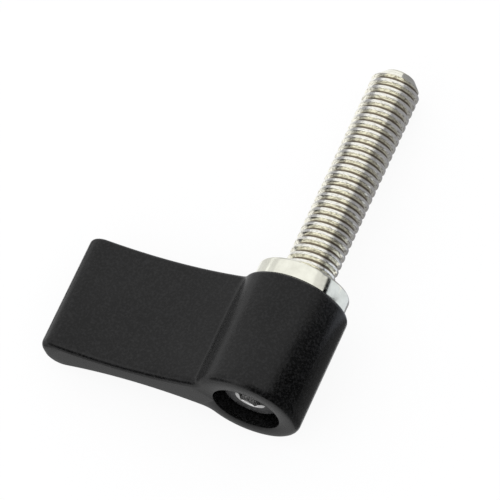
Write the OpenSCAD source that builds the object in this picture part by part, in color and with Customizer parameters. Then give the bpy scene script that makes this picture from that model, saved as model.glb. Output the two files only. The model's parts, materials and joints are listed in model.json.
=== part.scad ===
// Thumb screw with a spring-loaded indexing lever, lying as it rests on a flat surface.
// Every piece is drawn upright first: the screw's axis is +Z, the open mouth of the hub is at z = 0,
// the stud points up and the wing points along -X. The module lying() then lays it down.

/* [Lever] */
// Outside diameter of the hub
hub_d = 10.3; // [9.6:0.1:12]
// Height of the hub and the wing along the axis
lever_h = 11.8; // [11.6:0.1:16]
// Distance from the axis to the end of the wing
wing_reach = 21.3; // [19:0.1:24]
// Thickness of the wing at its thinnest place
waist_t = 2.95; // [2:0.05:3.5]
// Distance from the axis to the thinnest place
waist_x = 12.6; // [11:0.1:13.5]
// Radius of the hollow in each face of the wing
face_r = 34.5; // [28:0.5:60]
// Radius of the two upright corners at the wing's end
tip_r = 1.8; // [1.2:0.1:1.9]
// Radius of the blend between the wing's faces and the hub
blend_r = 1.4; // [0.8:0.1:2]
// Rounding of the edges round the open mouth
mouth_round = 0.7; // [0.2:0.05:0.8]
// Rounding of the edges on the collar's side
collar_side_round = 0.45; // [0.2:0.05:0.6]

/* [Stud] */
// Outside diameter of the thread
stud_d = 5; // [4:0.5:6]
// Free length of the threaded stud
stud_l = 22.65; // [16:0.05:40]
// Width of the bevel at the stud's end
stud_bevel = 0.95; // [0.3:0.05:1.2]
// Height of the bevel at the stud's end
stud_bevel_h = 1.05; // [0.4:0.05:1.5]
// Diameter of the collar
collar_d = 9; // [8:0.1:9.4]
// Height of the collar
collar_h = 1.8; // [1.4:0.1:3]
// Rounding of the collar's outer edge
collar_round = 0.3; // [0.1:0.05:0.5]

/* [Serration] */
// Number of teeth
tooth_n = 24; // [12:12:36]
// Diameter over the teeth of the stud's boss
boss_d = 6.7; // [6.3:0.1:6.9]
// Depth of a tooth
tooth_depth = 0.5; // [0.3:0.05:0.6]
// Length of the toothed boss
boss_h = 2.2; // [1.8:0.1:3]

/* [Retaining screw] */
// Diameter of the screw's shank
shank_d = 3; // [2.5:0.1:3.2]
// Length of the shank that is held in the stud's boss
shank_grip = 2.4; // [1.6:0.1:3.2]
// Diameter of the screw's head
head_d = 5.5; // [4.6:0.1:5.8]
// Height of the screw's head
head_h = 3; // [2:0.1:3.2]
// Depth of the head's top below the hub's mouth
head_sunk = 1.1; // [0.5:0.1:1.4]
// Width across the flats of the key socket
key_w = 2.5; // [1.5:0.5:2.5]
// Depth of the key socket
key_depth = 1.4; // [1:0.1:1.6]
// Width of the small bevels on the head and the shank's end
screw_bevel = 0.2; // [0.1:0.05:0.4]

/* [Spring] */
// Thickness of the spring's wire
wire_d = 0.3; // [0.2:0.05:0.35]
// Number of turns that stand open
open_turns = 2; // [1:1:3]
// Number of turns that lie close together at each end
end_turns = 1; // [1:1:2]

/* [Fits] */
// Gap between the screw's head and the hub's bore
head_gap = 0.5; // [0.3:0.05:0.6]
// Radial gap between the two sets of teeth
tooth_gap = 0.1; // [0.05:0.01:0.15]
// Gap between the shank and the hole in the web
shank_gap = 0.2; // [0.1:0.05:0.3]
// Gap between the shank and the tapped hole
tapped_gap = 0.02; // [0.01:0.01:0.05]
// Gap between the spring and what it seats on, and between its close turns
spring_gap = 0.05; // [0.02:0.01:0.1]
// Distance from the edge of the screw's head to the spring
spring_inset = 0.35; // [0.2:0.05:0.5]
// Room beyond the shank's end in the tapped hole
tapped_room = 0.3; // [0.1:0.1:0.6]
// Gap between the lever and the collar
collar_gap = 0.08; // [0.02:0.01:0.2]
// Room under the boss in the lever's toothed socket
socket_gap = 0.2; // [0.1:0.05:0.4]
// Thickness of the web inside the hub
web_t = 1.2; // [0.8:0.1:1.6]

/* [Hidden] */
$fn = 96;

// Heights along the axis, from the hub's mouth
collar_z = lever_h + collar_gap;
stud_z = collar_z + collar_h;
end_z = stud_z + stud_l;
boss_z = collar_z - boss_h;
web_top_z = lever_h - boss_h + collar_gap - socket_gap;
web_z = web_top_z - web_t;
head_z = head_sunk + head_h;
shank_end_z = boss_z + shank_grip;

// Radii that fit one another
hub_r = hub_d / 2;
bore_r = head_d / 2 + head_gap;
web_hole_r = shank_d / 2 + shank_gap;
tapped_r = shank_d / 2 + tapped_gap;
boss_r = boss_d / 2;
overcut = 1;

// Plan of the lever: centres of the circles that touch one another, with the wing along +X
face_c = [waist_x, waist_t / 2 + face_r];
blend_c = meeting([0, 0], hub_r + blend_r, face_c, face_r - blend_r);
tip_x = wing_reach - tip_r;
tip_c = [tip_x, face_c.y - sqrt(pow(face_r + tip_r, 2) - pow(tip_x - face_c.x, 2))];

// Spring: radius of the wire's centre line, its turns and their rise
wire_r = wire_d / 2;
coil_r = head_d / 2 - spring_inset - wire_r;
coil_z = head_z + spring_gap + wire_r;
coil_h = web_z - spring_gap - wire_r - coil_z;
close_pitch = wire_d + spring_gap;
open_pitch = (coil_h - 2 * end_turns * close_pitch) / open_turns;
turns = open_turns + 2 * end_turns;
wire_sides = 8;
turn_steps = 20;

// Rims that the screw can rest on: [x, y, radius, height of the rounding's centre, rounding]
stud_rims = [[0, 0, stud_d / 2, end_z - stud_bevel_h, 0], [0, 0, stud_d / 2 - stud_bevel, end_z, 0]];
hub_rims = [[0, 0, hub_r, mouth_round, mouth_round],
            [0, 0, hub_r, lever_h - collar_side_round, collar_side_round],
            [0, 0, collar_d / 2, stud_z - collar_round, collar_round]];
wing_rims = [for (side = [-1, 1], p = [[mouth_round, mouth_round],
                                      [lever_h - collar_side_round, collar_side_round]])
    [-tip_c.x, side * tip_c.y, tip_r, p[0], p[1]]];
rims = concat(stud_rims, hub_rims, wing_rims);

// Lying down: the axis dips towards the stud's end, then the screw rolls onto the wing's end
dip = max([for (rim = hub_rims) dip_on(rim, stud_rims[0])]);
hub_reach = max([for (rim = hub_rims) rim_reach([0, cos(dip), sin(dip)], rim)]);
roll = min([for (rim = wing_rims) roll_on(rim)]);
rest = [(reach([-1, 0, 0]) - reach([1, 0, 0])) / 2,
        (reach([0, -1, 0]) - reach([0, 1, 0])) / 2,
        reach([0, 0, -1])];

// Lower one of the two points at distance ra from a and rb from b
function meeting(a, ra, b, rb) =
    let (gap = norm(b - a), along = (ra * ra - rb * rb + gap * gap) / (2 * gap),
         across = sqrt(ra * ra - along * along), u = (b - a) / gap)
    a + along * u + across * [u.y, -u.x];

// Dip of a straight edge that touches a rounded rim and the sharp corner of another rim
function dip_on(rim, corner) =
    let (along = corner[3] - rim[3], up = rim[2] - rim[4] - corner[2])
    atan2(up, along) + asin(rim[4] / norm([along, up]));

// Roll at which a corner of the wing's end reaches as low as the hub does
function roll_on(rim) =
    asin((hub_reach - rim[3] * sin(dip) - rim[4] - (rim[2] - rim[4]) * cos(dip))
        / (cos(dip) * norm([rim[0], rim[1]]))) - atan2(abs(rim[1]), abs(rim[0]));

// How far a rim reaches along a direction given in the upright frame
function rim_reach(e, rim) =
    e.x * rim[0] + e.y * rim[1] + e.z * rim[3] + norm([e.x, e.y]) * (rim[2] - rim[4]) + rim[4];

// Direction of the lying frame, seen in the upright frame
function upright(e) =
    let (a = 90 + dip, y = e.y * cos(a) - e.z * sin(a), z = e.y * sin(a) + e.z * cos(a))
    [e.x * cos(roll) - y * sin(roll), e.x * sin(roll) + y * cos(roll), z];

// How far the whole screw reaches along a direction of the lying frame
function reach(e) = max([for (rim = rims) rim_reach(upright(e), rim)]);

// Height of the spring's centre line after a number of turns
function coil_rise(t) =
    min(t, end_turns) * close_pitch
    + max(0, min(t - end_turns, open_turns)) * open_pitch
    + max(0, t - end_turns - open_turns) * close_pitch;

// Colours
black = [0.12, 0.12, 0.125];
plated = [0.8, 0.8, 0.77];
oxide = [0.14, 0.14, 0.145];
steel = [0.62, 0.62, 0.6];

// Half section of a disc of radius r, with both rims rounded
module disc_section(r) {
    square([r - mouth_round, lever_h]);
    translate([0, mouth_round])
        square([r, lever_h - mouth_round - collar_side_round]);
    translate([0, mouth_round])
        square([r - collar_side_round, lever_h - mouth_round]);
    intersection() {
        square([r, lever_h]);
        union() {
            translate([r - mouth_round, mouth_round]) circle(mouth_round);
            translate([r - collar_side_round, lever_h - collar_side_round]) circle(collar_side_round);
        }
    }
}

// Half section of a cutter of radius r that leaves both edges of the wall it cuts rounded
module cutter_section(r) {
    translate([0, -overcut]) square([r, lever_h + 2 * overcut]);
    difference() {
        translate([0, -overcut]) square([r + mouth_round, mouth_round + overcut]);
        translate([r + mouth_round, mouth_round]) circle(mouth_round);
    }
    difference() {
        translate([0, lever_h - collar_side_round])
            square([r + collar_side_round, collar_side_round + overcut]);
        translate([r + collar_side_round, lever_h - collar_side_round]) circle(collar_side_round);
    }
}

module at_both_sides() {
    children();
    mirror([0, 1, 0]) children();
}

// Outer form of the lever with the wing along +X
module lever_form() {
    rotate_extrude() disc_section(hub_r);
    at_both_sides() translate(tip_c) rotate_extrude() disc_section(tip_r);
    translate([tip_x, tip_c.y, 0]) rotate([90, 0, 0])
        linear_extrude(2 * tip_c.y) disc_section(tip_r);
    difference() {
        linear_extrude(lever_h)
            polygon([[0, 0], blend_c, face_c, tip_c, [tip_c.x, -tip_c.y],
                     [face_c.x, -face_c.y], [blend_c.x, -blend_c.y]]);
        at_both_sides() translate(face_c) rotate_extrude($fn = 360) cutter_section(face_r);
        at_both_sides() translate(blend_c) rotate_extrude() cutter_section(blend_r);
    }
}

// Outline of the serration, with extra added to every radius
module serration(extra) {
    polygon([for (i = [0 : 2 * tooth_n - 1])
        (boss_r + extra - (i % 2) * tooth_depth)
            * [cos(i * 180 / tooth_n), sin(i * 180 / tooth_n)]]);
}

module lever() {
    color(black) difference() {
        rotate([0, 0, 180]) lever_form();
        translate([0, 0, -overcut]) cylinder(r = bore_r, h = web_z + overcut);
        cylinder(r = web_hole_r, h = lever_h);
        translate([0, 0, web_top_z]) linear_extrude(lever_h) serration(tooth_gap);
    }
}

module threaded_stud() {
    color(plated) difference() {
        union() {
            translate([0, 0, boss_z]) linear_extrude(boss_h + collar_round) serration(0);
            translate([0, 0, collar_z]) rotate_extrude() collar_and_stud_section();
        }
        translate([0, 0, boss_z - overcut])
            cylinder(r = tapped_r, h = overcut + shank_grip + tapped_room);
    }
}

// Half section of collar and stud, with the collar rounded where it faces the thread
module collar_and_stud_section() {
    stud_end = collar_h + stud_l;
    polygon([[0, 0], [stud_d / 2, 0], [stud_d / 2, stud_end - stud_bevel_h],
             [stud_d / 2 - stud_bevel, stud_end], [0, stud_end]]);
    square([collar_d / 2, collar_h - collar_round]);
    square([collar_d / 2 - collar_round, collar_h]);
    translate([collar_d / 2 - collar_round, collar_h - collar_round]) circle(collar_round);
}

module retaining_screw() {
    color(oxide) difference() {
        union() {
            translate([0, 0, head_sunk])
                cylinder(r1 = head_d / 2 - screw_bevel, r2 = head_d / 2, h = screw_bevel);
            translate([0, 0, head_sunk + screw_bevel]) cylinder(d = head_d, h = head_h - screw_bevel);
            translate([0, 0, head_z - screw_bevel])
                cylinder(d = shank_d, h = shank_end_z - head_z);
            translate([0, 0, shank_end_z - screw_bevel])
                cylinder(r1 = shank_d / 2, r2 = shank_d / 2 - screw_bevel, h = screw_bevel);
        }
        translate([0, 0, head_sunk - overcut])
            cylinder(r = key_w / 2 / cos(30), h = key_depth + overcut, $fn = 6);
    }
}

// Ring of points round the wire after a number of turns
function wire_ring(t) =
    [for (k = [0 : wire_sides - 1])
        let (b = k * 360 / wire_sides, r = coil_r + wire_r * cos(b))
        [r * cos(360 * t), r * sin(360 * t), coil_rise(t) + wire_r * sin(b)]];

module spring() {
    steps = turns * turn_steps;
    points = [for (s = [0 : steps]) each wire_ring(s / turn_steps)];
    walls = [for (s = [0 : steps - 1], k = [0 : wire_sides - 1])
        let (a = s * wire_sides, b = a + wire_sides, n = (k + 1) % wire_sides)
        each [[a + k, a + n, b + k], [a + n, b + n, b + k]]];
    start = [for (k = [wire_sides - 1 : -1 : 0]) k];
    finish = [for (k = [0 : wire_sides - 1]) steps * wire_sides + k];
    color(steel) translate([0, 0, coil_z])
        polyhedron(points, concat(walls, [start, finish]), convexity = turns);
}

// Lays a piece down, with the middle of the whole screw's box over the origin
module lying() {
    translate(rest) rotate([-90 - dip, 0, 0]) rotate([0, 0, -roll]) children();
}

lying() lever();
lying() threaded_stud();
lying() retaining_screw();
lying() spring();
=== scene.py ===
"""Looks of a thumb screw: a spring-loaded lever on a threaded stud, lying on a pale surface."""

import json
import math
from types import SimpleNamespace

import bmesh
import bpy
from mathutils import Matrix, Vector


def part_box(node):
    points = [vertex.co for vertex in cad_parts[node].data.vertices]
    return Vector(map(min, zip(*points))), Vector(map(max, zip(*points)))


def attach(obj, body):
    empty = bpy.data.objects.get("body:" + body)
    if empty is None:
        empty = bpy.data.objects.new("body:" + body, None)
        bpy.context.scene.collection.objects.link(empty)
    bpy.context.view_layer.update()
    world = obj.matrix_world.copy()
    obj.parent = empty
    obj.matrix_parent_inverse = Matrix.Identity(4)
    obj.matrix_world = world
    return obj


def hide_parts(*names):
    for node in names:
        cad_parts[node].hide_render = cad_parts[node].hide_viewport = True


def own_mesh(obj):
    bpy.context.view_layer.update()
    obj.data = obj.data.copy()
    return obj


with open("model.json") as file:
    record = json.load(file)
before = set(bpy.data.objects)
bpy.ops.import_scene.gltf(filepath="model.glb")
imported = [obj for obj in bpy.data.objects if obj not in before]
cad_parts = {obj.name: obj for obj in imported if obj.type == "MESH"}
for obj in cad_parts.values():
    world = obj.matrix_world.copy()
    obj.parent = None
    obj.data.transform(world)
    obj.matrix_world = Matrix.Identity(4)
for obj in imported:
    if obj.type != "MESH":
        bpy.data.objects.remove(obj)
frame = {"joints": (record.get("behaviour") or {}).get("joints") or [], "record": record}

bl_info = {
    "name": "Thumb Screw",
    "version": (1, 0, 0),
    "blender": (4, 5, 0),
    "location": "3D View > Sidebar > Thumb Screw",
    "description": "Shapes and finishes the pieces of a thumb screw and sets its stage",
    "category": "Add Mesh",
}

# Where the screw lies: its turning joint gives the axis, and the hub's open mouth is the zero of heights
TURN = next(joint for joint in frame["joints"] if joint["name"] == "lever_turn")
AXIS = Vector(TURN["axis"]).normalized()
MOUTH = Vector(TURN["pos_m"])
WING_ROLL = math.radians(8.90115)

# Height of the face that clamps, from the record's mount
CLAMPING_FACE = next(m for m in frame["record"]["mounts"] if m["name"] == "clamping_face")
SHOULDER = (Vector(CLAMPING_FACE["pos_m"]) - MOUTH).dot(AXIS)

# The pieces are shaped upright in millimetres, where bevel and merge have room to work
MM = 1000
MERGE = 0.0005
FLAT = 0.001
ROUND_STEPS = 96
SHARP_ANGLE = math.radians(32)
FIT_ALLOWANCE = 0.00006


def lying():
    """Matrix that lays an upright piece down and turns its millimetres into metres."""
    level = AXIS.cross(Vector((0, 0, 1))).normalized()
    rise = level.cross(AXIS)
    across = math.cos(WING_ROLL) * level + math.sin(WING_ROLL) * rise
    turn = Matrix((across, AXIS.cross(across), AXIS)).transposed().to_4x4()
    return Matrix.Translation(MOUTH) @ turn @ Matrix.Scale(1 / MM, 4)


def millimetres(group):
    """Values of a property group, with its lengths in millimetres."""
    values = {}
    for prop in group.bl_rna.properties:
        if prop.identifier in ("rna_type", "name"):
            continue
        value = getattr(group, prop.identifier)
        is_length = getattr(prop, "unit", "NONE") == "LENGTH"
        values[prop.identifier] = value * MM if is_length else value
    return SimpleNamespace(**values)


def length(name, description, default):
    """A length that a user may change."""
    return bpy.props.FloatProperty(
        name=name, description=description, default=default, min=0.0, unit="LENGTH", precision=5
    )


def count(name, description, default):
    """A whole number that a user may change."""
    return bpy.props.IntProperty(name=name, description=description, default=default, min=1)


def colour(name, description, default):
    """A colour that a user may change."""
    return bpy.props.FloatVectorProperty(
        name=name, description=description, default=default, subtype="COLOR", size=3, min=0.0, max=1.0
    )


def factor(name, description, default):
    """A share from nought to one that a user may change."""
    return bpy.props.FloatProperty(
        name=name, description=description, default=default, min=0.0, max=1.0, subtype="FACTOR"
    )


class LeverSizes(bpy.types.PropertyGroup):
    """Sizes and colours of the lever"""

    hub_diameter: length("Hub diameter", "Outside diameter of the hub", 0.0103)
    height: length("Height", "Height of hub and wing along the screw's axis", 0.0118)
    reach: length("Wing reach", "Distance from the axis to the wing's end", 0.0213)
    waist: length("Waist", "Thickness of the wing at its thinnest place", 0.00295)
    waist_place: length("Waist place", "Distance from the axis to the thinnest place", 0.0126)
    face_radius: length("Face radius", "Radius of the hollow in each face of the wing", 0.0345)
    tip_radius: length("Tip radius", "Radius of the upright corners at the wing's end", 0.0018)
    blend_radius: length("Blend radius", "Radius between the wing's faces and the hub", 0.0014)
    mouth_rounding: length("Mouth rounding", "Rounding of the edges round the mouth", 0.0007)
    far_rounding: length("Far rounding", "Rounding of the edges on the collar's side", 0.00045)
    bore: length("Bore", "Diameter of the hub's open bore", 0.0065)
    bore_depth: length("Bore depth", "Depth of the bore down to the web", 0.00828)
    web: length("Web", "Thickness of the web inside the hub", 0.0012)
    web_hole: length("Web hole", "Diameter of the hole in the web", 0.0034)
    socket: length("Socket", "Diameter of the toothed socket", 0.0069)
    tooth_depth: length("Tooth depth", "Depth of the socket's teeth", 0.0005)
    teeth: count("Teeth", "Number of teeth in the socket", 24)
    dark: colour("Black", "Deeper tone of the black finish", (0.0005, 0.0005, 0.0006))
    # Paler tone for grain flecks, blotches and the painted highlight on rounded edges
    pale: colour("Pale black, flecks and edge highlight", "Paler tone of the black finish", (0.0165, 0.0165, 0.0170))


class StudSizes(bpy.types.PropertyGroup):
    """Sizes and colours of the threaded stud"""

    crest: length("Crest diameter", "Diameter over the thread's crests", 0.0049)
    root: length("Root diameter", "Diameter at the thread's roots", 0.00420)
    pitch: length("Pitch", "Distance from one crest to the next", 0.0008)
    reach: length("Free length", "Length of the thread past the collar", 0.02265)
    end_bevel: length("End bevel", "Width of the bevel at the stud's end", 0.00092)
    end_bevel_height: length("Bevel height", "Height of the bevel at the stud's end", 0.00105)
    collar: length("Collar diameter", "Diameter of the collar", 0.009)
    collar_height: length("Collar height", "Height of the collar", 0.0018)
    collar_rounding: length("Collar rounding", "Rounding of the collar's outer edge", 0.0003)
    boss: length("Boss", "Diameter over the boss's teeth", 0.0067)
    boss_length: length("Boss length", "Length of the toothed boss", 0.0022)
    tooth_depth: length("Tooth depth", "Depth of the boss's teeth", 0.0005)
    teeth: count("Teeth", "Number of teeth on the boss", 24)
    tapped: length("Tapped hole", "Diameter of the hole in the boss", 0.00304)
    tapped_depth: length("Hole depth", "Depth of the hole in the boss", 0.0027)
    bright: colour("Plating", "Colour of the bright plating", (0.97, 0.97, 0.86))
    rolled: colour("Rolled crest", "Colour of the thread's crests", (0.96, 0.95, 0.89))
    flank: colour("Flank", "Colour of the thread's flanks", (0.97, 0.95, 0.83))
    # Tarnish in specks and blotches, and the painted shade in the thread's roots
    tarnish_and_root_shade: colour("Tarnish and root shade", "Colour in the thread's roots", (0.19, 0.155, 0.11))


class RetainingScrewSizes(bpy.types.PropertyGroup):
    """Sizes and colours of the retaining screw"""

    head: length("Head diameter", "Diameter of the screw's head", 0.0055)
    head_height: length("Head height", "Height of the screw's head", 0.003)
    head_sunk: length("Head depth", "Depth of the head below the hub's mouth", 0.0011)
    head_bevel: length("Head bevel", "Width of the bevel round the head", 0.0002)
    knurls: count("Knurls", "Number of grooves round the head", 40)
    knurl_depth: length("Knurl depth", "Depth of the grooves round the head", 0.00008)
    key: length("Key width", "Width across the flats of the key socket", 0.0025)
    key_depth: length("Key depth", "Depth of the key socket", 0.0014)
    countersink: length("Countersink", "Diameter of the bevel round the key socket", 0.00299)
    shank: length("Shank diameter", "Diameter over the shank's thread", 0.003)
    shank_root: length("Shank root", "Diameter at the roots of the shank's thread", 0.00244)
    shank_pitch: length("Shank pitch", "Pitch of the shank's thread", 0.0005)
    shank_end: length("Shank end", "Height of the shank's end above the hub's mouth", 0.01208)
    oxide: colour("Black oxide", "Deeper tone of the black oxide", (0.030, 0.030, 0.031))
    rubbed: colour("Rubbed oxide", "Paler tone of the black oxide", (0.090, 0.090, 0.091))
    steel: colour("Bare steel", "Colour of the steel where the key has worn it", (0.86, 0.86, 0.86))
    stain: colour("Stain", "Colour of the bare steel where it has dulled", (0.42, 0.41, 0.40))


class SpringSizes(bpy.types.PropertyGroup):
    """Sizes and colours of the spring"""

    wire: length("Wire", "Thickness of the wire", 0.0003)
    coil: length("Coil radius", "Radius of the wire's centre line", 0.00225)
    start: length("Start", "Height of the wire's centre line at the screw's head", 0.0043)
    close_pitch: length("Close pitch", "Rise of each close turn", 0.00035)
    open_pitch: length("Open pitch", "Rise of each open turn", 0.00154)
    close_turns: count("Close turns", "Turns that lie close together at each end", 1)
    open_turns: count("Open turns", "Turns that stand open", 2)
    steel: colour("Wire steel", "Colour of the drawn wire", (0.60, 0.60, 0.58))
    stain: colour("Wire stain", "Colour of the wire where it has dulled", (0.30, 0.29, 0.27))


class StageSettings(bpy.types.PropertyGroup):
    """Surface, light and camera round the thumb screw"""

    floor: colour("Floor", "Colour of the surface that the screw lies on", (0.80, 0.80, 0.82))
    floor_radius: length("Floor radius", "Radius of the surface", 0.5)
    shadow: factor("Shadow", "Share of the floor's own shading that shows in the picture", 0.15)
    sky: factor("Sky", "Brightness of the light that comes from all sides", 0.75)
    soft_box: bpy.props.FloatProperty(
        name="Soft box", description="Power of the soft box overhead", default=0.5, unit="POWER"
    )
    front_box: bpy.props.FloatProperty(
        name="Front box", description="Power of the soft box in front", default=0.076, unit="POWER"
    )
    far_card_place: length("Far cards", "Distance of the cards beside hub and collar", 0.030)
    near_card_place: length("Near cards", "Distance of the cards beside the thread", 0.0165)
    card_dark: colour("Dark card", "Colour of the upright card that the hub reflects", (0.0, 0.0, 0.0))
    # Painted shadow: the screw's shade on the floor beside the hub, seen only in reflections
    shadow_card_hub: colour("Hub shadow card", "Colour of the card on the floor beside the hub", (0.16, 0.16, 0.16))
    card_pale: colour("Pale card", "Colour of the cards that the collar reflects", (0.72, 0.76, 0.84))
    card_gray: colour("Gray card", "Colour of the cards that the thread reflects", (0.30, 0.30, 0.32))
    # Painted shadow: the screw's shade on the floor in front of the mouth, seen only in reflections
    shadow_card_mouth: colour("Mouth shadow card", "Colour of the card in front of the mouth", (0.50, 0.50, 0.50))
    card_wing: colour("Wing card", "Colour of the card past the wing's end", (0.22, 0.22, 0.22))
    # Painted shadow: the screw's shade on the floor beside the wing, seen only in reflections
    shadow_card_wing: colour("Wing shadow card", "Colour of the card on the floor beside the wing", (0.72, 0.72, 0.72))
    card_left: colour("Left card", "Colour of the card left of the thread", (0.40, 0.40, 0.42))
    card_back: colour("Back card", "Colour of the card behind the camera", (0.03, 0.03, 0.03))
    card_back_gap: length("Back card gap", "Distance from the camera to the card behind it", 0.017)
    card_back_radius: length("Back card radius", "Radius of the card behind the camera", 0.09)
    camera_azimuth: bpy.props.FloatProperty(
        name="Camera azimuth",
        description="Direction of the camera round the screw, from the X axis",
        default=math.radians(-45.8065),
        subtype="ANGLE",
    )
    camera_elevation: bpy.props.FloatProperty(
        name="Camera elevation",
        description="Height of the camera above the horizon",
        default=math.radians(67.4158),
        subtype="ANGLE",
    )
    camera_roll: bpy.props.FloatProperty(
        name="Camera roll",
        description="Turn of the camera about its line of sight",
        default=math.radians(-23.0752),
        subtype="ANGLE",
    )
    camera_distance: length("Camera distance", "Distance from the camera to its aim", 0.43292)
    camera_aim: bpy.props.FloatVectorProperty(
        name="Camera aim",
        description="Point that the camera looks at",
        default=(0.0019976, -0.0030958, 0.0050229),
        subtype="XYZ",
        unit="LENGTH",
    )
    camera_view: bpy.props.FloatProperty(
        name="Camera view",
        description="Angle that the picture spans",
        default=math.radians(6.07522),
        subtype="ANGLE",
    )


class Pen:
    """Draws a chain of edges: straight runs and bends that follow one another."""

    def __init__(self, bm, start, heading, normal):
        self.bm = bm
        self.normal = Vector(normal)
        self.heading = Vector(heading)
        self.vert = bm.verts.new(start)

    def run(self, distance):
        made = bmesh.ops.extrude_vert_indiv(self.bm, verts=[self.vert])
        self.vert = made["verts"][0]
        bmesh.ops.translate(self.bm, verts=[self.vert], vec=self.heading * distance)

    def bend(self, radius, degrees, steps):
        """Follows an arc to the left of the heading, or to the right where degrees are negative."""
        side = math.copysign(radius, degrees)
        angle = math.radians(degrees)
        made = bmesh.ops.spin(
            self.bm,
            geom=[self.vert],
            cent=self.vert.co + self.normal.cross(self.heading) * side,
            axis=self.normal,
            angle=angle,
            steps=steps,
        )
        self.vert = points_of(made["geom_last"])[0]
        self.heading = Matrix.Rotation(angle, 3, self.normal) @ self.heading


def drawn_since(bm, old):
    """Vertices and edges that weren't there when old was noted."""
    return [part for part in (*bm.verts, *bm.edges) if part not in old]


def points_of(parts):
    """The vertices among a list of parts."""
    return [part for part in parts if isinstance(part, bmesh.types.BMVert)]


def edges_of(parts):
    """The edges among a list of parts."""
    return [part for part in parts if isinstance(part, bmesh.types.BMEdge)]


def faces_at(parts):
    """The faces that touch any of some vertices and edges."""
    return list({face for part in parts for face in part.link_faces})


def turned(bm, profile, steps=ROUND_STEPS):
    """Turns a profile of (radius, height) points once round the axis."""
    points = [bm.verts.new((radius, 0, height)) for radius, height in profile]
    edges = [bm.edges.new(pair) for pair in zip(points, points[1:])]
    bmesh.ops.spin(
        bm, geom=points + edges, cent=(0, 0, 0), axis=(0, 0, 1), angle=math.tau, steps=steps, use_merge=True
    )
    merge(bm)


def merge(bm):
    """Joins the points that lie on one another."""
    bmesh.ops.remove_doubles(bm, verts=bm.verts, dist=MERGE)


def at_height(edge, height):
    """Whether an edge lies at a height."""
    return all(abs(vert.co.z - height) < FLAT for vert in edge.verts)


def ring_at(bm, radius, height):
    """Edges of the circle of one radius at one height."""
    return [
        edge
        for edge in bm.edges
        if at_height(edge, height) and all(abs(vert.co.xy.length - radius) < FLAT for vert in edge.verts)
    ]


def round_off(bm, edges, amount, segments):
    """Rounds edges off, and gives the new points."""
    made = bmesh.ops.bevel(
        bm, geom=edges, offset=amount, segments=segments, profile=0.5, affect="EDGES", material=-1
    )
    return made["verts"]


def close_plane(bm, height):
    """Fills the flat face between the open loops that lie at one height."""
    loops = [edge for edge in bm.edges if edge.is_boundary and at_height(edge, height)]
    if not loops:
        raise RuntimeError(f"no open loop at height {height:.3f}")
    bmesh.ops.triangle_fill(bm, use_beauty=True, edges=loops)


def toothed_loop(bm, diameter, depth, teeth, height):
    """Closed loop of pointed teeth at one height."""
    made = bmesh.ops.create_circle(
        bm, radius=diameter / 2, segments=2 * teeth, matrix=Matrix.Translation((0, 0, height))
    )
    valley = (diameter / 2 - depth) / (diameter / 2)
    bmesh.ops.scale(bm, verts=made["verts"][1::2], vec=(valley, valley, 1))
    return list({edge for vert in made["verts"] for edge in vert.link_edges})


def raise_loop(bm, edges, rise, spread=1.0):
    """Draws a wall from a loop, rising by a height and spreading by a factor, and gives the new loop."""
    made = bmesh.ops.extrude_edge_only(bm, edges=edges)["geom"]
    moved = set(points_of(made))
    bmesh.ops.scale(bm, verts=list(moved), vec=(spread, spread, 1))
    bmesh.ops.translate(bm, verts=list(moved), vec=(0, 0, rise))
    return [edge for edge in edges_of(made) if moved.issuperset(edge.verts)]


def threaded(bm, crest, root, pitch, low, high, steps, bevel, bevel_height):
    """Right-hand thread between two heights, open at both, with its crests cut to a bevel at the top."""
    root_fillet = 0.06 * pitch
    crest_fillet = 0.09 * pitch
    flank_slope = math.radians(60)
    drop = (crest - root) / 2 - (root_fillet + crest_fillet) * (1 - math.cos(flank_slope))
    flank = drop / math.sin(flank_slope)
    used = (root_fillet + crest_fillet) * math.sin(flank_slope) + flank * math.cos(flank_slope)
    land = (pitch / 2 - used) * 0.7
    valley = (pitch / 2 - used) * 0.3

    old = {*bm.verts, *bm.edges}
    pen = Pen(bm, (root / 2, 0, low - pitch), (0, 0, 1), (0, 1, 0))
    pen.run(valley)
    pen.bend(root_fillet, 60, 3)
    pen.run(flank)
    pen.bend(crest_fillet, -60, 5)
    pen.run(2 * land)
    pen.bend(crest_fillet, -60, 5)
    pen.run(flank)
    pen.bend(root_fillet, 60, 3)
    pen.run(valley)
    bmesh.ops.spin(
        bm,
        geom=drawn_since(bm, old),
        cent=(0, 0, 0),
        axis=(0, 0, 1),
        dvec=(0, 0, pitch / steps),
        angle=math.tau,
        steps=steps,
    )
    turns = 1
    while turns < (high - low) / pitch + 2:
        winding = drawn_since(bm, old)
        copy = bmesh.ops.duplicate(bm, geom=[*winding, *faces_at(winding)])["geom"]
        bmesh.ops.translate(bm, verts=points_of(copy), vec=(0, 0, turns * pitch))
        turns *= 2
    merge(bm)
    for vert in points_of(drawn_since(bm, old)):
        limit = crest / 2 - bevel + max(high - vert.co.z, 0) * bevel / bevel_height
        if vert.co.xy.length > limit:
            vert.co.xy *= limit / vert.co.xy.length
    for height, normal in ((low, (0, 0, -1)), (high, (0, 0, 1))):
        winding = drawn_since(bm, old)
        bmesh.ops.bisect_plane(
            bm,
            geom=[*winding, *faces_at(winding)],
            dist=MERGE / 10,
            plane_co=(0, 0, height),
            plane_no=normal,
            clear_outer=True,
        )
    merge(bm)


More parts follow.
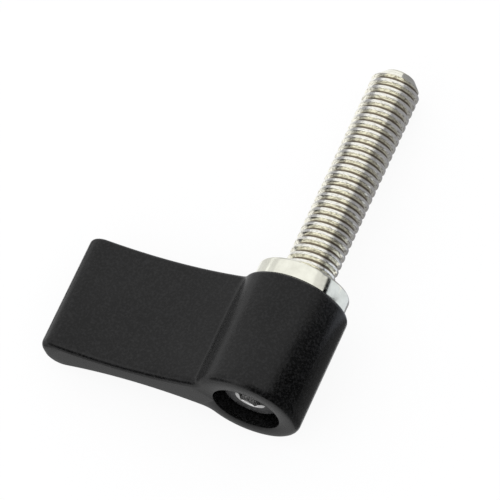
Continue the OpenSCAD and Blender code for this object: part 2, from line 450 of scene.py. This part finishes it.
def finished(bm, name, node, body, slot, *materials):
    """Closes a piece, lays it down and makes it stand for its node."""
    merge(bm)
    open_edges = [edge for edge in bm.edges if not edge.is_manifold]
    if open_edges:
        places = [tuple(round(x, 3) for x in edge.verts[0].co) for edge in open_edges[:4]]
        raise RuntimeError(f"{name} isn't closed: {len(open_edges)} open edges, such as at {places}")
    bmesh.ops.recalc_face_normals(bm, faces=bm.faces)
    for face in bm.faces:
        face.smooth = True
    for edge in bm.edges:
        edge.smooth = edge.calc_face_angle() < SHARP_ANGLE
    bmesh.ops.transform(bm, matrix=lying(), verts=bm.verts)
    mesh = bpy.data.meshes.new(name)
    bm.to_mesh(mesh)
    bm.free()
    for material in materials:
        mesh.materials.append(material)
    piece = bpy.data.objects.new(name, mesh)
    bpy.context.scene.collection.objects.link(piece)
    low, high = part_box(node)
    if any(
        not low[i] - FIT_ALLOWANCE < vert.co[i] < high[i] + FIT_ALLOWANCE
        for vert in mesh.vertices
        for i in range(3)
    ):
        raise RuntimeError(f"{name} reaches out of the room that {node} has")
    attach(piece, body)
    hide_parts(node)
    return piece


def even_normals(piece):
    """Keeps flat faces flat and roundings smooth beside them."""
    modifier = piece.modifiers.new("Even normals", "WEIGHTED_NORMAL")
    modifier.mode = "FACE_AREA"
    modifier.keep_sharp = True


def lever_outline(bm, size):
    """Outline of hub and wing at the mouth, with the wing along -X."""
    hub = size.hub_diameter / 2
    face = Vector((-size.waist_place, size.waist / 2 + size.face_radius))
    near, far = hub + size.blend_radius, size.face_radius - size.blend_radius
    gap = face.length
    along = (near**2 - far**2 + gap**2) / (2 * gap)
    toward = face / gap
    blend = along * toward + math.sqrt(near**2 - along**2) * Vector((toward.y, -toward.x))
    if blend.x > along * toward.x:
        blend = 2 * along * toward - blend
    tip_x = size.tip_radius - size.reach
    span = size.face_radius + size.tip_radius
    tip = Vector((tip_x, face.y - math.sqrt(span**2 - (tip_x - face.x) ** 2)))

    hub_end = math.degrees(math.atan2(blend.y, blend.x)) + 90
    blend_end = math.degrees(math.atan2(blend.y - face.y, blend.x - face.x)) % 360 - 90
    face_end = math.degrees(math.atan2(tip.y - face.y, tip.x - face.x)) % 360 - 90
    pen = Pen(bm, (hub, 0, 0), (0, 1, 0), (0, 0, 1))
    pen.bend(hub, hub_end - 90, 48)
    pen.bend(size.blend_radius, blend_end - hub_end, 10)
    pen.bend(size.face_radius, face_end - blend_end, 26)
    pen.bend(size.tip_radius, 270 - face_end, 14)
    pen.run(tip.y)
    bmesh.ops.mirror(bm, geom=[*bm.verts, *bm.edges], axis="Y", merge_dist=MERGE)
    merge(bm)


def lever_mesh(size):
    """Hub and wing in one, with the bore, the web and the toothed socket."""
    bm = bmesh.new()
    lever_outline(bm, size)
    lower = bm.edges[:]
    upper = raise_loop(bm, lower, size.height)
    caps = [bmesh.ops.contextual_create(bm, geom=loop)["faces"][0] for loop in (lower, upper)]
    bmesh.ops.recalc_face_normals(bm, faces=bm.faces)
    # Rounded edges are marked for a painted highlight that makes them a little paler in the finish
    worn = bm.verts.layers.float.new("painted_edge_highlight")
    for loop, amount in ((caps[0].edges[:], size.mouth_rounding), (caps[1].edges[:], size.far_rounding)):
        for vert in round_off(bm, loop, amount, 6):
            vert[worn] = 1.0
    flat = [face for face in bm.faces if len(face.verts) > 4]
    bmesh.ops.delete(bm, geom=flat, context="FACES_ONLY")

    bore, hole = size.bore / 2, size.web_hole / 2
    web_top = size.bore_depth + size.web
    break_edge = 0.1
    turned(
        bm,
        [
            (bore + break_edge, 0),
            (bore + break_edge / 3, break_edge / 3),
            (bore, break_edge),
            (bore, size.bore_depth),
            (hole, size.bore_depth),
            (hole, web_top),
        ],
    )
    socket = toothed_loop(bm, size.socket, size.tooth_depth, size.teeth, web_top)
    raise_loop(bm, socket, size.height - web_top)
    for height in (0, web_top, size.height):
        close_plane(bm, height)
    return bm


def stud_mesh(size):
    """Threaded stud, collar and toothed boss in one, with the hole for the retaining screw."""
    bm = bmesh.new()
    shoulder = SHOULDER * MM
    under = shoulder - size.collar_height
    boss = under - size.boss_length
    collar, hole = size.collar / 2, size.tapped / 2
    lead = 0.15
    hole_end = boss + size.tapped_depth
    turned(bm, [(0, hole_end), (hole, hole_end), (hole, boss + lead), (hole + lead, boss)])
    edge_break = 0.1
    inner = collar - 2 * size.collar_rounding
    lower_rim = [(collar - edge_break, under), (collar, under + edge_break)]
    turned(bm, [*lower_rim, (collar, shoulder), (inner, shoulder)])
    round_off(bm, ring_at(bm, collar, shoulder), size.collar_rounding, 5)
    teeth = toothed_loop(bm, size.boss, size.tooth_depth, size.teeth, boss + lead)
    raise_loop(bm, teeth, -lead, 1 - 2 * lead / size.boss)
    raise_loop(bm, teeth, size.boss_length - lead)
    threaded(
        bm,
        size.crest,
        size.root,
        size.pitch,
        shoulder,
        shoulder + size.reach,
        72,
        size.end_bevel,
        size.end_bevel_height,
    )
    for height in (boss, under, shoulder, shoulder + size.reach):
        close_plane(bm, height)
    return bm


def key_socket(bm, size):
    """Starts the screw with its six-sided socket, whose corners cut into a bevelled rim."""
    side_steps = 8
    corner = size.key / 2 / math.cos(math.radians(30))
    rim = size.countersink / 2
    bmesh.ops.create_circle(bm, radius=corner, segments=6)
    bmesh.ops.subdivide_edges(bm, edges=bm.edges[:], cuts=side_steps - 1)
    loop = bm.edges[:]
    for vert in bm.verts:
        vert.co.z = size.head_sunk + 0.6 * (rim - vert.co.xy.length)
    outer = raise_loop(bm, loop, 0)
    for face in bm.faces:
        face.material_index = 1
    for vert in {vert for edge in outer for vert in edge.verts}:
        vert.co.xy *= rim / vert.co.xy.length
        vert.co.z = size.head_sunk
    floor = raise_loop(bm, loop, 0)
    for vert in {vert for edge in floor for vert in edge.verts}:
        vert.co.z = size.head_sunk + size.key_depth
    bmesh.ops.contextual_create(bm, geom=floor)


def screw_mesh(size):
    """Socket-head screw: knurled head, key socket and threaded shank."""
    bm = bmesh.new()
    head = size.head / 2
    top = size.head_sunk + size.head_height
    inset = (head - size.head_bevel) / head
    key_socket(bm, size)
    knurl = toothed_loop(bm, size.head, size.knurl_depth, size.knurls, size.head_sunk + size.head_bevel)
    raise_loop(bm, knurl, -size.head_bevel, inset)
    raise_loop(bm, knurl, size.head_height - size.head_bevel)
    threaded(
        bm,
        size.shank,
        size.shank_root,
        size.shank_pitch,
        top,
        size.shank_end,
        48,
        size.head_bevel,
        size.head_bevel,
    )
    for height in (size.head_sunk, top, size.shank_end):
        close_plane(bm, height)
    return bm


def spring_mesh(size):
    """Round wire wound into a coil whose end turns lie close."""
    bm = bmesh.new()
    wire_sides, turn_steps = 12, 48
    made = bmesh.ops.create_circle(
        bm,
        radius=size.wire / 2,
        segments=wire_sides,
        matrix=Matrix.Translation((size.coil, 0, size.start)) @ Matrix.Rotation(math.pi / 2, 4, "X"),
    )
    ends = [made["verts"]]
    ring = [*made["verts"], *{edge for vert in made["verts"] for edge in vert.link_edges}]
    for turns, pitch in (
        (size.close_turns, size.close_pitch),
        (size.open_turns, size.open_pitch),
        (size.close_turns, size.close_pitch),
    ):
        ring = bmesh.ops.spin(
            bm,
            geom=ring,
            cent=(0, 0, 0),
            axis=(0, 0, 1),
            dvec=(0, 0, pitch / turn_steps),
            angle=turns * math.tau,
            steps=turns * turn_steps,
        )["geom_last"]
    ends.append(points_of(ring))
    for end in ends:
        bmesh.ops.contextual_create(bm, geom=end)
    return bm


def add_node(tree, kind, inputs=None, **settings):
    """Adds a node, makes its settings, and fills or links its inputs."""
    made = tree.nodes.new(kind)
    for name, value in settings.items():
        setattr(made, name, value)
    for name, value in (inputs or {}).items():
        if isinstance(value, bpy.types.NodeSocket):
            tree.links.new(value, made.inputs[name])
        else:
            made.inputs[name].default_value = value
    return made


def maths(tree, operation, first, second=0.0):
    """Result of a maths node."""
    return add_node(tree, "ShaderNodeMath", {0: first, 1: second}, operation=operation).outputs[0]


def noise(tree, vector, scale, detail=2.0, roughness=0.5):
    """Value of a noise texture whose features are about 1 / scale metres wide."""
    inputs = {"Vector": vector, "Scale": scale, "Detail": detail, "Roughness": roughness}
    return add_node(tree, "ShaderNodeTexNoise", inputs).outputs[0]


def spread(tree, value, low, high, to_low=0.0, to_high=1.0):
    """Carries a value from one range to another, and stops at its ends."""
    inputs = {"Value": value, "From Min": low, "From Max": high, "To Min": to_low, "To Max": to_high}
    return add_node(tree, "ShaderNodeMapRange", inputs).outputs[0]


def blend_colours(tree, share, first, second):
    """Colour between two others."""
    made = add_node(tree, "ShaderNodeMix", {0: share}, data_type="RGBA")
    for socket, value in ((made.inputs[6], first), (made.inputs[7], second)):
        if isinstance(value, bpy.types.NodeSocket):
            tree.links.new(value, socket)
        else:
            socket.default_value = (*value, 1.0)
    return made.outputs[2]


def new_group(name, inputs, outputs):
    """Starts a shader node group, and gives it with its input and output nodes."""
    tree = bpy.data.node_groups.new(name, "ShaderNodeTree")
    for socket, kind in inputs:
        tree.interface.new_socket(socket, in_out="INPUT", socket_type=kind)
    for socket, kind in outputs:
        tree.interface.new_socket(socket, in_out="OUTPUT", socket_type=kind)
    return tree, tree.nodes.new("NodeGroupInput").outputs, tree.nodes.new("NodeGroupOutput")


def grain_group():
    """Fine even grain of a blasted or plated surface, and the soft blotches under it."""
    tree, given, result = new_group(
        "Fine grain",
        [
            ("Vector", "NodeSocketVector"),
            ("Grain scale", "NodeSocketFloat"),
            ("Blotch scale", "NodeSocketFloat"),
        ],
        [("Grain", "NodeSocketFloat"), ("Blotch", "NodeSocketFloat")],
    )
    grain = noise(tree, given["Vector"], given["Grain scale"], 3.0, 0.6)
    blotch = noise(tree, given["Vector"], given["Blotch scale"], 3.0, 0.55)
    tree.links.new(spread(tree, grain, 0.25, 0.75), result.inputs["Grain"])
    tree.links.new(spread(tree, blotch, 0.3, 0.7), result.inputs["Blotch"])
    return tree


def turning_group():
    """Rings that a cutting tool leaves round the axis."""
    tree, given, result = new_group(
        "Turning marks",
        [("Upright", "NodeSocketVector"), ("Ring scale", "NodeSocketFloat")],
        [
            ("Rings", "NodeSocketFloat"),
            ("Streaks", "NodeSocketFloat"),
            ("Radius", "NodeSocketFloat"),
            ("Height", "NodeSocketFloat"),
        ],
    )
    parts = add_node(tree, "ShaderNodeSeparateXYZ", {0: given["Upright"]}).outputs
    squares = [maths(tree, "MULTIPLY", part, part) for part in parts[:2]]
    radius = maths(tree, "SQRT", maths(tree, "ADD", *squares))
    place = add_node(tree, "ShaderNodeCombineXYZ", {0: radius, 1: 0.0, 2: parts[2]}).outputs[0]
    tree.links.new(noise(tree, place, given["Ring scale"], 2.0, 0.6), result.inputs["Rings"])
    stretch = maths(tree, "MULTIPLY", radius, 0.3)
    around = maths(tree, "MULTIPLY", maths(tree, "ARCTAN2", parts[1], parts[0]), stretch)
    streak = add_node(tree, "ShaderNodeCombineXYZ", {0: around, 1: radius, 2: parts[2]}).outputs[0]
    tree.links.new(noise(tree, streak, given["Ring scale"], 2.0, 0.6), result.inputs["Streaks"])
    tree.links.new(radius, result.inputs["Radius"])
    tree.links.new(parts[2], result.inputs["Height"])
    return tree


def group_node(tree, group, inputs):
    """Places a node group in a material."""
    made = add_node(tree, "ShaderNodeGroup", node_tree=bpy.data.node_groups.get(group) or GROUPS[group]())
    for name, value in inputs.items():
        if isinstance(value, bpy.types.NodeSocket):
            tree.links.new(value, made.inputs[name])
        else:
            made.inputs[name].default_value = value
    return made.outputs


GROUPS = {"Fine grain": grain_group, "Turning marks": turning_group}


def new_material(name):
    """Starts a material, and gives its tree, its shader and the piece's own coordinates."""
    material = bpy.data.materials.new(name)
    material.use_nodes = True
    tree = material.node_tree
    own = tree.nodes.new("ShaderNodeTexCoord").outputs["Object"]
    return material, tree, tree.nodes["Principled BSDF"], own


def upright(tree, own):
    """Coordinates of the upright screw, in metres: Z runs along its axis from the hub's mouth."""
    back = (lying() @ Matrix.Scale(MM, 4)).inverted()
    inputs = {"Vector": own, "Location": back.to_translation(), "Rotation": back.to_euler()}
    return add_node(tree, "ShaderNodeMapping", inputs, vector_type="POINT").outputs[0]


def bump(tree, height, distance, strength=1.0, normal=None):
    """Normal of a surface raised by a height."""
    inputs = {"Height": height, "Distance": distance, "Strength": strength}
    if normal:
        inputs["Normal"] = normal
    return add_node(tree, "ShaderNodeBump", inputs).outputs[0]


def black_finish(name, dark, pale, low_rough, high_rough):
    """Matt black with a fine grain and soft blotches, and a painted highlight that makes rounded edges a
    little paler.
    """
    material, tree, shader, own = new_material(name)
    grain = group_node(tree, "Fine grain", {"Vector": own, "Grain scale": 4200.0, "Blotch scale": 160.0})
    edge_highlight = add_node(tree, "ShaderNodeAttribute", attribute_name="painted_edge_highlight").outputs["Fac"]
    fleck = spread(tree, grain["Grain"], 0.4, 0.9, 0.0, 0.8)
    tone = maths(tree, "ADD", fleck, maths(tree, "MULTIPLY", grain["Blotch"], 0.25))
    # Painted highlight: the rounded edges are made a little paler
    tone = maths(tree, "ADD", tone, maths(tree, "MULTIPLY", edge_highlight, 0.12))
    tree.links.new(blend_colours(tree, tone, dark, pale), shader.inputs["Base Color"])
    tree.links.new(spread(tree, grain["Grain"], 0.0, 1.0, low_rough, high_rough), shader.inputs["Roughness"])
    tree.links.new(bump(tree, grain["Grain"], 0.000005), shader.inputs["Normal"])
    shader.inputs["Specular IOR Level"].default_value = 0.28
    return material


def plated_finish(size):
    """Bright plating: turned collar, rough thread with painted shade in its roots and tarnish in specks and
    blotches.
    """
    material, tree, shader, own = new_material("Bright plating")
    place = upright(tree, own)
    marks = group_node(tree, "Turning marks", {"Upright": place, "Ring scale": 9000.0})
    grain = group_node(tree, "Fine grain", {"Vector": own, "Grain scale": 6500.0, "Blotch scale": 900.0})
    crest, root, tip = size.crest / 2, size.root / 2, SHOULDER + size.reach
    past_threads = spread(tree, marks["Height"], tip - 0.0009, tip - 0.0007)
    on_thread = spread(tree, marks["Radius"], crest + 0.00015, crest + 0.00005)
    on_thread = maths(tree, "MAXIMUM", maths(tree, "SUBTRACT", on_thread, past_threads), 0.0)
    speckle = spread(tree, marks["Streaks"], 0.52, 0.60, 0.0, 0.62)
    # Painted shade: the thread's roots darken towards the tarnish colour
    depth = spread(tree, marks["Radius"], root + 0.00005, root + 0.00001)
    flank = blend_colours(tree, maths(tree, "MAXIMUM", depth, speckle), size.flank, size.tarnish_and_root_shade)
    on_crest = spread(tree, marks["Radius"], crest - 0.00005, crest - 0.00001)
    scuffed = blend_colours(tree, maths(tree, "MULTIPLY", speckle, 0.45), size.rolled, size.tarnish_and_root_shade)
    thread = blend_colours(tree, on_crest, flank, scuffed)
    cut = maths(tree, "MULTIPLY", past_threads, spread(tree, marks["Rings"], 0.52, 0.62, 0.0, 0.5))
    dull = maths(tree, "ADD", cut, maths(tree, "MULTIPLY", grain["Blotch"], 0.17))
    turned_colour = blend_colours(tree, dull, size.bright, size.tarnish_and_root_shade)
    tree.links.new(blend_colours(tree, on_thread, turned_colour, thread), shader.inputs["Base Color"])
    tree.links.new(spread(tree, grain["Blotch"], 0.0, 1.0, 0.08, 0.18), shader.inputs["Roughness"])
    rough = maths(tree, "MULTIPLY", grain["Grain"], spread(tree, on_thread, 0.0, 1.0, 0.1, 1.0))
    turned_normal = bump(tree, marks["Rings"], 0.000003)
    tree.links.new(bump(tree, rough, 0.000006, 1.0, turned_normal), shader.inputs["Normal"])
    shader.inputs["Metallic"].default_value = 1.0
    return material


def steel_finish(name, steel, stain, ring_scale):
    """Plain steel with fine marks round the axis and dull patches."""
    material, tree, shader, own = new_material(name)
    place = upright(tree, own)
    marks = group_node(tree, "Turning marks", {"Upright": place, "Ring scale": ring_scale})
    grain = group_node(tree, "Fine grain", {"Vector": own, "Grain scale": 6000.0, "Blotch scale": 1500.0})
    dull = maths(tree, "MULTIPLY", grain["Blotch"], 0.45)
    tree.links.new(blend_colours(tree, dull, steel, stain), shader.inputs["Base Color"])
    tree.links.new(spread(tree, grain["Blotch"], 0.0, 1.0, 0.12, 0.24), shader.inputs["Roughness"])
    grain_normal = bump(tree, grain["Grain"], 0.000003)
    tree.links.new(bump(tree, marks["Rings"], 0.000003, 1.0, grain_normal), shader.inputs["Normal"])
    shader.inputs["Metallic"].default_value = 1.0
    return material


def floor_finish(size):
    """Pale floor that stays white in the picture and keeps the screw's soft shadow."""
    material, tree, shader, _ = new_material("Pale surface")
    shader.inputs["Base Color"].default_value = (*size.floor, 1.0)
    shader.inputs["Roughness"].default_value = 0.8
    white = add_node(tree, "ShaderNodeEmission", {"Strength": 1.06}).outputs[0]
    rays = tree.nodes.new("ShaderNodeLightPath").outputs
    direct = maths(tree, "MAXIMUM", rays["Is Camera Ray"], rays["Is Glossy Ray"])
    seen = maths(tree, "MULTIPLY", direct, 1.0 - size.shadow)
    mixed = add_node(tree, "ShaderNodeMixShader", {0: seen, 1: shader.outputs[0], 2: white})
    tree.links.new(mixed.outputs[0], tree.nodes["Material Output"].inputs["Surface"])
    return material


def set_world(size):
    """Even pale light from all sides, white where the camera sees it."""
    world = bpy.data.worlds.new("Studio")
    world.use_nodes = True
    tree = world.node_tree
    rays = tree.nodes.new("ShaderNodeLightPath").outputs
    strength = spread(tree, rays["Is Camera Ray"], 0.0, 1.0, size.sky, 1.0)
    background = tree.nodes["Background"]
    background.inputs["Color"].default_value = (1.0, 1.0, 1.0, 1.0)
    tree.links.new(strength, background.inputs["Strength"])
    bpy.context.scene.world = world


def add_lamp(name, place, aim, width, height, power):
    """Soft box at a place, facing its aim."""
    lamp = bpy.data.lights.new(name, "AREA")
    lamp.shape = "RECTANGLE"
    lamp.size, lamp.size_y = width, height
    lamp.energy = power
    box = bpy.data.objects.new(name, lamp)
    bpy.context.scene.collection.objects.link(box)
    away = (Vector(place) - Vector(aim)).normalized()
    box.location = place
    box.rotation_euler = away.to_track_quat("Z", "Y").to_euler()
    return box


def add_card(name, tint, corners):
    """Card that only reflections show, such as photographers stand beside bright metal."""
    bm = bmesh.new()
    bmesh.ops.contextual_create(bm, geom=[bm.verts.new(corner) for corner in corners])
    mesh = bpy.data.meshes.new(name)
    bm.to_mesh(mesh)
    bm.free()
    material, tree, shader, _ = new_material(name)
    tree.nodes.remove(shader)
    glow = add_node(tree, "ShaderNodeEmission", {"Color": (*tint, 1.0), "Strength": 1.0}).outputs[0]
    tree.links.new(glow, tree.nodes["Material Output"].inputs["Surface"])
    mesh.materials.append(material)
    card = bpy.data.objects.new(name, mesh)
    card.visible_camera = False
    card.visible_diffuse = False
    card.visible_shadow = False
    bpy.context.scene.collection.objects.link(card)


def side_card(place, near, far):
    """Corners of a card across X at a place; each end gives its Y, its foot and its top."""
    return [
        (place, near[0], near[1]),
        (place, far[0], far[1]),
        (place, far[0], far[2]),
        (place, near[0], near[2]),
    ]


def front_card(place, left, right, top):
    """Corners of a card that stands on the floor across Y at a place."""
    return [(left, place, 0), (right, place, 0), (right, place, top), (left, place, top)]


def flat_card(left, right, near, far):
    """Corners of a card that lies just clear of the floor."""
    lift = 0.0002
    return [(left, near, lift), (right, near, lift), (right, far, lift), (left, far, lift)]


def disc_card(place, toward, radius):
    """Corners of a round card at a place, facing along a direction."""
    level = toward.orthogonal().normalized()
    rise = toward.cross(level)
    turns = [math.tau * step / ROUND_STEPS for step in range(ROUND_STEPS)]
    return [place + radius * (math.cos(turn) * level + math.sin(turn) * rise) for turn in turns]


def add_cards(size):
    """Cards that give the black hub its dark streak and the bright metal its gray sides, and floor cards
    that paint the screw's shadow on the floor into reflections.
    """
    far, near = size.far_card_place, size.near_card_place
    behind = view_axes(size)[2]
    behind_place = Vector(size.camera_aim) + behind * (size.camera_distance + size.card_back_gap)
    cards = (
        ("hub_card", size.card_dark, side_card(far, (-0.045, 0, 0.050), (0.0015, 0, 0.026))),
        ("hub_front_card", size.card_dark, front_card(-0.045, 0.003, far, 0.050)),
        # Painted shadow on the floor beside the hub, for reflections only
        ("hub_shadow_card", size.shadow_card_hub, flat_card(0.0135, far, -0.045, -0.0045)),
        ("front_line", size.card_back, front_card(-0.045, -0.050, -0.009, 0.020)),
        # Painted shadow on the floor in front of the mouth, for reflections only
        ("mouth_shadow_card", size.shadow_card_mouth, flat_card(-0.030, 0.0135, -0.029, -0.0175)),
        ("wing_card", size.card_wing, side_card(-0.0165, (-0.024, 0, 0.002), (0, 0, 0.002))),
        # Painted shadow on the floor beside the wing, for reflections only
        ("left_shadow_card", size.shadow_card_wing, flat_card(-0.050, -0.002, -0.006, 0.020)),
        ("collar_card", size.card_pale, side_card(far, (0.0015, 0, 0.0125), (0.014, 0, 0.0125))),
        ("collar_line", size.card_dark, side_card(far, (0.0015, 0.0125, 0.0172), (0.014, 0.0125, 0.0172))),
        ("collar_floor_card", size.card_pale, flat_card(near, far, -0.0045, 0.0035)),
        ("collar_foot_card", size.card_pale, flat_card(0.0135, near, -0.0045, 0.0003)),
        ("thread_card", size.card_gray, side_card(near, (0.001, 0, 0.0136), (0.029, 0, 0.0106))),
        ("thread_floor_card", size.card_gray, flat_card(0.0080, near, 0.0003, 0.030)),
        ("thread_foot_card", size.card_gray, flat_card(0.0080, 0.0135, -0.0045, 0.0003)),
        ("thread_left_card", size.card_left, side_card(0, (0.002, 0.0045, 0.0095), (0.030, 0.0025, 0.0075))),
        ("back_card", size.card_back, disc_card(behind_place, behind, size.card_back_radius)),
    )
    for name, tint, corners in cards:
        add_card(name, tint, corners)


def view_axes(size):
    """Right, up and backward directions of the camera."""
    flat = math.cos(size.camera_elevation)
    back = Vector(
        (
            flat * math.cos(size.camera_azimuth),
            flat * math.sin(size.camera_azimuth),
            math.sin(size.camera_elevation),
        )
    )
    level = Vector((0, 0, 1)).cross(back).normalized()
    turn = Matrix((level, back.cross(level), back)).transposed() @ Matrix.Rotation(size.camera_roll, 3, "Z")
    return turn.col[0], turn.col[1], back


def add_camera(size):
    """Camera at the photograph's viewing angle."""
    axes = view_axes(size)
    camera = bpy.data.cameras.new("Camera")
    camera.sensor_width = 36.0
    camera.lens = camera.sensor_width / 2 / math.tan(size.camera_view / 2)
    camera.clip_start, camera.clip_end = 0.01, 10.0
    holder = bpy.data.objects.new("Camera", camera)
    bpy.context.scene.collection.objects.link(holder)
    place = Vector(size.camera_aim) + axes[2] * size.camera_distance
    holder.matrix_world = Matrix.Translation(place) @ Matrix(axes).transposed().to_4x4()
    bpy.context.scene.camera = holder


class THUMBSCREW_OT_lever(bpy.types.Operator):
    """Shape the lever and give it its matt black finish"""

    bl_idname = "thumb_screw.lever"
    bl_label = "Lever"

    def execute(self, context):
        sizes = context.scene.lever_sizes
        finish = black_finish("Blasted black", sizes.dark, sizes.pale, 0.22, 0.34)
        piece = finished(
            lever_mesh(millimetres(sizes)), "lever_body", "lever", "lever", "lever_black", finish
        )
        even_normals(piece)
        return {"FINISHED"}


class THUMBSCREW_OT_stud(bpy.types.Operator):
    """Shape the threaded stud with its collar and plate it"""

    bl_idname = "thumb_screw.stud"
    bl_label = "Threaded stud"

    def execute(self, context):
        sizes = context.scene.stud_sizes
        piece = finished(
            stud_mesh(millimetres(sizes)),
            "threaded_stud_body",
            "threaded_stud",
            "stud",
            "plated_steel",
            plated_finish(sizes),
        )
        even_normals(piece)
        return {"FINISHED"}


class THUMBSCREW_OT_retaining_screw(bpy.types.Operator):
    """Shape the socket-head screw that holds the lever on the stud"""

    bl_idname = "thumb_screw.retaining_screw"
    bl_label = "Retaining screw"

    def execute(self, context):
        sizes = context.scene.retaining_screw_sizes
        piece = finished(
            screw_mesh(millimetres(sizes)),
            "retaining_screw_body",
            "retaining_screw",
            "stud",
            "screw_steel",
            black_finish("Black oxide", sizes.oxide, sizes.rubbed, 0.3, 0.42),
            steel_finish("Worn steel", sizes.steel, sizes.stain, 7000.0),
        )
        even_normals(piece)
        return {"FINISHED"}


class THUMBSCREW_OT_spring(bpy.types.Operator):
    """Wind the spring and give its wire a mesh of its own"""

    bl_idname = "thumb_screw.spring"
    bl_label = "Spring"

    def execute(self, context):
        sizes = context.scene.spring_sizes
        wire = finished(
            spring_mesh(millimetres(sizes)),
            "spring_wire",
            "spring",
            "coil",
            "spring_steel",
            steel_finish("Drawn wire", sizes.steel, sizes.stain, 5000.0),
        )
        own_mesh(wire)
        return {"FINISHED"}


class THUMBSCREW_OT_stage(bpy.types.Operator):
    """Set the pale floor, the soft light and the camera"""

    bl_idname = "thumb_screw.stage"
    bl_label = "Stage"

    def execute(self, context):
        sizes = context.scene.stage_settings
        bm = bmesh.new()
        bmesh.ops.create_circle(bm, cap_ends=True, radius=sizes.floor_radius, segments=ROUND_STEPS)
        mesh = bpy.data.meshes.new("floor")
        bm.to_mesh(mesh)
        bm.free()
        mesh.materials.append(floor_finish(sizes))
        floor = bpy.data.objects.new("floor", mesh)
        context.scene.collection.objects.link(floor)
        set_world(sizes)
        add_lamp("Soft box", (-0.10, 0.20, 0.42), (0, 0, 0), 0.9, 0.9, sizes.soft_box)
        add_lamp("Front box", (-0.14, -0.22, 0.20), (0, 0, 0), 0.22, 0.22, sizes.front_box)
        add_cards(sizes)
        add_camera(sizes)
        context.scene.view_settings.view_transform = "Standard"
        return {"FINISHED"}


class THUMBSCREW_PT_pieces(bpy.types.Panel):
    """Lists the pieces of the thumb screw"""

    bl_idname = "THUMBSCREW_PT_pieces"
    bl_label = "Thumb Screw"
    bl_space_type = "VIEW_3D"
    bl_region_type = "UI"
    bl_category = "Thumb Screw"

    def draw(self, context):
        for group, operator in zip(GROUPS_ON_SCENE, PIECE_OPERATORS):
            box = self.layout.box()
            box.operator(operator.bl_idname)
            settings = getattr(context.scene, group)
            for prop in settings.bl_rna.properties:
                if prop.identifier not in ("rna_type", "name"):
                    box.prop(settings, prop.identifier)


GROUPS_ON_SCENE = {
    "lever_sizes": LeverSizes,
    "stud_sizes": StudSizes,
    "retaining_screw_sizes": RetainingScrewSizes,
    "spring_sizes": SpringSizes,
    "stage_settings": StageSettings,
}
PIECE_OPERATORS = (
    THUMBSCREW_OT_lever,
    THUMBSCREW_OT_stud,
    THUMBSCREW_OT_retaining_screw,
    THUMBSCREW_OT_spring,
    THUMBSCREW_OT_stage,
)


def register():
    for kind in (*GROUPS_ON_SCENE.values(), *PIECE_OPERATORS, THUMBSCREW_PT_pieces):
        bpy.utils.register_class(kind)
    for name, kind in GROUPS_ON_SCENE.items():
        setattr(bpy.types.Scene, name, bpy.props.PointerProperty(type=kind))


def unregister():
    for name in GROUPS_ON_SCENE:
        delattr(bpy.types.Scene, name)
    for kind in (THUMBSCREW_PT_pieces, *PIECE_OPERATORS, *GROUPS_ON_SCENE.values()):
        bpy.utils.unregister_class(kind)


def main():
    register()
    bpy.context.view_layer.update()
    bpy.ops.thumb_screw.lever()
    bpy.ops.thumb_screw.stud()
    bpy.ops.thumb_screw.retaining_screw()
    bpy.ops.thumb_screw.spring()
    bpy.ops.thumb_screw.stage()


if __name__ == "__main__":
    main()
